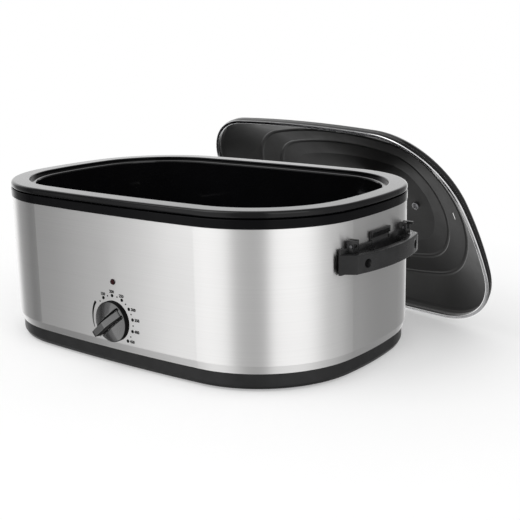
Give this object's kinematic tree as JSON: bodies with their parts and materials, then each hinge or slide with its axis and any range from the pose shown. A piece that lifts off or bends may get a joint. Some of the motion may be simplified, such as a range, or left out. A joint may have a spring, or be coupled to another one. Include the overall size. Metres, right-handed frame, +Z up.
{
  "type": "electric roaster oven",
  "caption": "Bowed rectangular countertop roaster oven: steel body with heated well, lift-out pan and rack, side handles, temperature knob and a loose domed lid leaned behind it.",
  "frame": {"origin": "on the table, in the middle of the body's four feet, straight under the centre of the body's plan", "axes": "+X along the long front, to the right when facing the control knob; +Y from the knob towards the rear; +Z up"},
  "size_m": [0.6371, 0.4834, 0.2788],
  "materials": {
    "base_black": "satin black moulded base",
    "foot_rubber": "matte black rubber",
    "brushed_steel": "brushed stainless steel",
    "collar_black": "gloss black",
    "well_aluminium": "plain rolled sheet",
    "band_metal": "plain steel",
    "blanket_fibre": "matte fibre wool",
    "zinc_steel": "bright zinc-plated steel",
    "thermostat_case": "matte brown phenolic",
    "sensor_brass": "plain brass",
    "knob_black": "semi-gloss black plastic",
    "lamp_red": "gloss red translucent plastic",
    "white_insulator": "matte white ceramic-filled plastic",
    "handle_black": "satin black plastic",
    "pan_enamel": "gloss black enamel on steel",
    "rack_chrome": "chrome-plated wire",
    "edge_steel": "bright steel edge",
    "lid_enamel": "semi-gloss dark enamel"
  },
  "bodies": {
    "body": {"base_tray": "base_black", "foot_front_left": "foot_rubber", "foot_rear_left": "foot_rubber", "foot_front_right": "foot_rubber", "foot_rear_right": "foot_rubber", "outer_wrap": "brushed_steel", "upper_collar": "collar_black", "well_liner": "well_aluminium", "heater_band": "band_metal", "heater_strap_lower": "band_metal", "heater_strap_upper": "band_metal", "insulation_blanket": "blanket_fibre", "heater_terminals": "band_metal", "heat_shield": "well_aluminium", "shield_standoffs": "zinc_steel", "centre_stud": "zinc_steel", "centre_nut": "zinc_steel", "thermostat_bracket": "zinc_steel", "thermostat_body": "thermostat_case", "thermostat_sensor": "sensor_brass", "pilot_lamp_lens": "lamp_red", "pilot_lamp_holder": "white_insulator", "terminal_block": "white_insulator", "thermal_fuse": "band_metal", "cord_bushing": "foot_rubber", "handle_plate_right": "handle_black", "handle_plate_left": "handle_black", "handle_grip_right": "handle_black", "handle_grip_left": "handle_black", "handle_pins_right": "zinc_steel", "handle_pins_left": "zinc_steel", "handle_screws": "zinc_steel"},
    "knob": {"control_knob": "knob_black", "control_shaft": "zinc_steel"},
    "pan": {"roasting_pan": "pan_enamel"},
    "rack": {"rack_outline": "rack_chrome", "rack_rods": "rack_chrome", "rack_feet": "rack_chrome", "rack_loop_left": "rack_chrome", "rack_loop_right": "rack_chrome"},
    "lid": {"lid_edge_band": "edge_steel", "lid_shell": "lid_enamel", "lid_handle": "handle_black", "lid_screws": "zinc_steel"}
  },
  "joints": [
    {"name": "knob_turn", "type": "hinge", "parent": "body", "child": "knob", "pos_m": [0.006, -0.19, 0.0595], "axis": [0, 1, 0], "range_deg": [0, 267]},
    {"name": "pan_lift", "type": "slide", "parent": "body", "child": "pan", "axis": [0, 0, 1], "range_m": [0, 0.18]},
    {"name": "rack_lift", "type": "slide", "parent": "pan", "child": "rack", "axis": [0, 0, 1], "range_m": [0, 0.18]},
    {"name": "lid_lift", "type": "slide", "parent": "pan", "child": "lid", "axis": [0, 0, 1], "range_m": [0, 0.3]}
  ]
}
